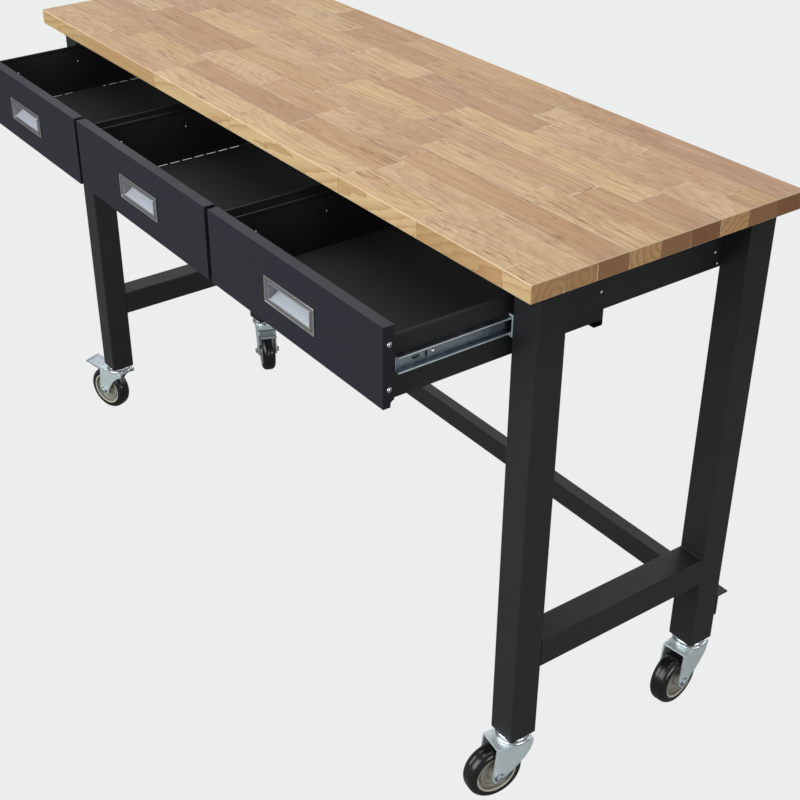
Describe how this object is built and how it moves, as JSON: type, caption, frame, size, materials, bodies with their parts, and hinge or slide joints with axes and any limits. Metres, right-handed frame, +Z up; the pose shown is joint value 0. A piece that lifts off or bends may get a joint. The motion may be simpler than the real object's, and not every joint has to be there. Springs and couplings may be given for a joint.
{
  "type": "rolling workbench with drawers",
  "caption": "Rolling workbench: butcher-block worktop on a black square-tube frame, a row of sliding drawers with recessed pulls, swivel casters with brakes.",
  "frame": {"origin": "on the floor, at the centre of the ground covered by the bench with its drawers standing open and its casters turned as pictured", "axes": "+X along the worktop to the right end as seen from the drawer side, +Y from the drawers to the rear, +Z up"},
  "size_m": [1.5696, 0.6884, 0.96],
  "materials": {
    "wood": "oiled hardwood butcher block, finger-jointed staves",
    "frame_paint": "black satin powder coat",
    "drawer_paint": "charcoal black satin powder coat",
    "pull_steel": "satin steel",
    "slide_zinc": "bright zinc plate",
    "caster_zinc": "zinc plate, blue-white",
    "pedal_steel": "zinc-plated pressed steel",
    "wheel_plastic": "grey-beige moulded nylon",
    "tyre": "black rubber tread"
  },
  "bodies": {
    "frame": {"caster_stem_front_left": "caster_zinc", "caster_stem_front_right": "caster_zinc", "caster_stem_rear_left": "caster_zinc", "caster_stem_rear_right": "caster_zinc", "divider_left": "frame_paint", "divider_right": "frame_paint", "front_rail": "frame_paint", "leg_front_left": "frame_paint", "leg_front_right": "frame_paint", "leg_rear_left": "frame_paint", "leg_rear_right": "frame_paint", "rear_apron": "frame_paint", "rear_bar": "frame_paint", "side_apron_left": "frame_paint", "side_apron_right": "frame_paint", "side_rail_left": "frame_paint", "side_rail_right": "frame_paint", "slide_channel_left_left": "slide_zinc", "slide_channel_left_right": "slide_zinc", "slide_channel_middle_left": "slide_zinc", "slide_channel_middle_right": "slide_zinc", "slide_channel_right_left": "slide_zinc", "slide_channel_right_right": "slide_zinc", "worktop": "wood"},
    "caster_front_left": {"axle_bolt_front_left": "caster_zinc", "caster_fork_front_left": "caster_zinc"},
    "caster_front_right": {"axle_bolt_front_right": "caster_zinc", "caster_fork_front_right": "caster_zinc"},
    "caster_rear_left": {"axle_bolt_rear_left": "caster_zinc", "caster_fork_rear_left": "caster_zinc"},
    "caster_rear_right": {"axle_bolt_rear_right": "caster_zinc", "caster_fork_rear_right": "caster_zinc"},
    "brake_front_left": {"brake_pedal_front_left": "pedal_steel"},
    "brake_rear_left": {"brake_pedal_rear_left": "pedal_steel"},
    "drawer_left": {"drawer_box_left": "drawer_paint", "drawer_front_left": "drawer_paint", "drawer_pull_left": "pull_steel", "slide_runner_left_left": "slide_zinc", "slide_runner_left_right": "slide_zinc"},
    "drawer_middle": {"drawer_box_middle": "drawer_paint", "drawer_front_middle": "drawer_paint", "drawer_pull_middle": "pull_steel", "slide_runner_middle_left": "slide_zinc", "slide_runner_middle_right": "slide_zinc"},
    "drawer_right": {"drawer_box_right": "drawer_paint", "drawer_front_right": "drawer_paint", "drawer_pull_right": "pull_steel", "slide_runner_right_left": "slide_zinc", "slide_runner_right_right": "slide_zinc"},
    "wheel_front_left": {"tyre_front_left": "tyre", "wheel_rim_front_left": "wheel_plastic"},
    "wheel_front_right": {"tyre_front_right": "tyre", "wheel_rim_front_right": "wheel_plastic"},
    "wheel_rear_left": {"tyre_rear_left": "tyre", "wheel_rim_rear_left": "wheel_plastic"},
    "wheel_rear_right": {"tyre_rear_right": "tyre", "wheel_rim_rear_right": "wheel_plastic"}
  },
  "joints": [
    {"name": "drawer_left_slide", "type": "slide", "parent": "frame", "child": "drawer_left", "axis": [0, -1, 0], "range_m": [-0.193, 0.097]},
    {"name": "drawer_middle_slide", "type": "slide", "parent": "frame", "child": "drawer_middle", "axis": [0, -1, 0], "range_m": [-0.193, 0.097]},
    {"name": "drawer_right_slide", "type": "slide", "parent": "frame", "child": "drawer_right", "axis": [0, -1, 0], "range_m": [-0.193, 0.097]},
    {"name": "caster_front_left_swivel", "type": "hinge", "parent": "frame", "child": "caster_front_left", "pos_m": [-0.69275, -0.10625, 0.1272], "axis": [0, 0, 1], "continuous": true},
    {"name": "wheel_front_left_spin", "type": "hinge", "parent": "caster_front_left", "child": "wheel_front_left", "pos_m": [-0.72657, -0.11856, 0.05], "axis": [0.342, -0.9397, 0], "continuous": true},
    {"name": "brake_front_left_press", "type": "hinge", "parent": "caster_front_left", "child": "brake_front_left", "pos_m": [-0.72657, -0.11856, 0.1054], "axis": [0.342, -0.9397, 0], "range_deg": [0, 6]},
    {"name": "caster_front_right_swivel", "type": "hinge", "parent": "frame", "child": "caster_front_right", "pos_m": [0.73825, -0.10625, 0.1272], "axis": [0, 0, 1], "continuous": true},
    {"name": "wheel_front_right_spin", "type": "hinge", "parent": "caster_front_right", "child": "wheel_front_right", "pos_m": [0.73325, -0.1419, 0.05], "axis": [0.9903, -0.1392, 0], "continuous": true},
    {"name": "caster_rear_left_swivel", "type": "hinge", "parent": "frame", "child": "caster_rear_left", "pos_m": [-0.69275, 0.29225, 0.1272], "axis": [0, 0, 1], "continuous": true},
    {"name": "wheel_rear_left_spin", "type": "hinge", "parent": "caster_rear_left", "child": "wheel_rear_left", "pos_m": [-0.65986, 0.27761, 0.05], "axis": [0.4067, 0.9135, 0], "continuous": true},
    {"name": "brake_rear_left_press", "type": "hinge", "parent": "caster_rear_left", "child": "brake_rear_left", "pos_m": [-0.65986, 0.27761, 0.1054], "axis": [0.4067, 0.9135, 0], "range_deg": [0, 6]},
    {"name": "caster_rear_right_swivel", "type": "hinge", "parent": "frame", "child": "caster_rear_right", "pos_m": [0.73825, 0.29225, 0.1272], "axis": [0, 0, 1], "continuous": true},
    {"name": "wheel_rear_right_spin", "type": "hinge", "parent": "caster_rear_right", "child": "wheel_rear_right", "pos_m": [0.74326, 0.2566, 0.05], "axis": [0.9903, 0.1392, 0], "continuous": true}
  ]
}
